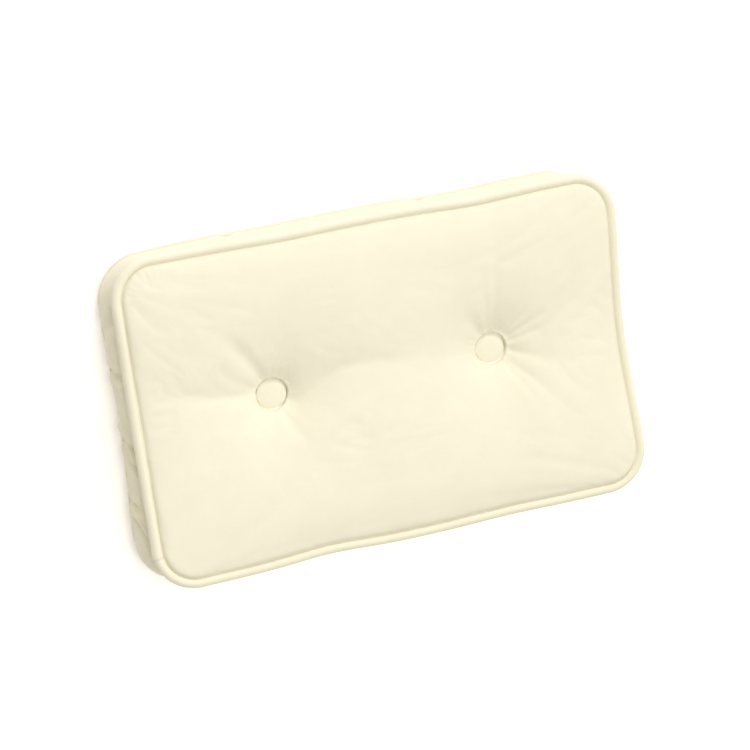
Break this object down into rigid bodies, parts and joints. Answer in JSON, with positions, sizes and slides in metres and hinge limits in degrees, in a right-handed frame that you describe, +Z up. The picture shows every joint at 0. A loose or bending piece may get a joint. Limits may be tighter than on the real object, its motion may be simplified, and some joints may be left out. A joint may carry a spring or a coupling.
{
  "type": "seat pad",
  "caption": "Boxed rectangular fabric pad with piped edges, covered tufting buttons laced through a foam core, and a zip along one side.",
  "frame": {"origin": "centre of the flat underside that rests on the chair", "axes": "+X along the pad's width, +Y along its depth away from the zip side, +Z up through the face"},
  "size_m": [0.484, 0.305, 0.095],
  "materials": {
    "cover_fabric": "matte",
    "piping_cord": "matte",
    "foam": "matte",
    "wadding": "matte",
    "zip_tape": "matte",
    "zip_coil": "satin",
    "zip_metal": "satin",
    "button_metal": "satin",
    "twine": "matte"
  },
  "bodies": {
    "cushion": {"face_panel": "cover_fabric", "back_panel": "cover_fabric", "boxing_strip": "cover_fabric", "zip_facing_upper": "cover_fabric", "zip_facing_lower": "cover_fabric", "face_welt_cover": "cover_fabric", "face_welt_cord": "piping_cord", "back_welt_cover": "cover_fabric", "back_welt_cord": "piping_cord", "foam_core": "foam", "face_wadding": "wadding", "back_wadding": "wadding", "zip_tape_upper": "zip_tape", "zip_tape_lower": "zip_tape", "zip_coil_upper": "zip_coil", "zip_coil_lower": "zip_coil", "zip_top_stops": "zip_metal", "zip_bottom_stop": "zip_metal", "face_left_button_cover": "cover_fabric", "face_left_button_shell": "button_metal", "face_left_button_back": "button_metal", "face_left_button_shank": "button_metal", "face_right_button_cover": "cover_fabric", "face_right_button_shell": "button_metal", "face_right_button_back": "button_metal", "face_right_button_shank": "button_metal", "back_left_button_cover": "cover_fabric", "back_left_button_shell": "button_metal", "back_left_button_back": "button_metal", "back_left_button_shank": "button_metal", "back_right_button_cover": "cover_fabric", "back_right_button_shell": "button_metal", "back_right_button_back": "button_metal", "back_right_button_shank": "button_metal", "left_tufting_twine": "twine", "right_tufting_twine": "twine"},
    "slider": {"zip_slider": "zip_metal"},
    "pull": {"zip_pull": "zip_metal"}
  },
  "joints": [
    {"name": "zip_slide", "type": "slide", "parent": "cushion", "child": "slider", "axis": [1, 0, 0], "range_m": [-0.367, 0]},
    {"name": "pull_swing", "type": "hinge", "parent": "slider", "child": "pull", "pos_m": [0.1835, -0.1492, 0.0435], "axis": [0, 0, 1], "range_deg": [0, 180]}
  ]
}
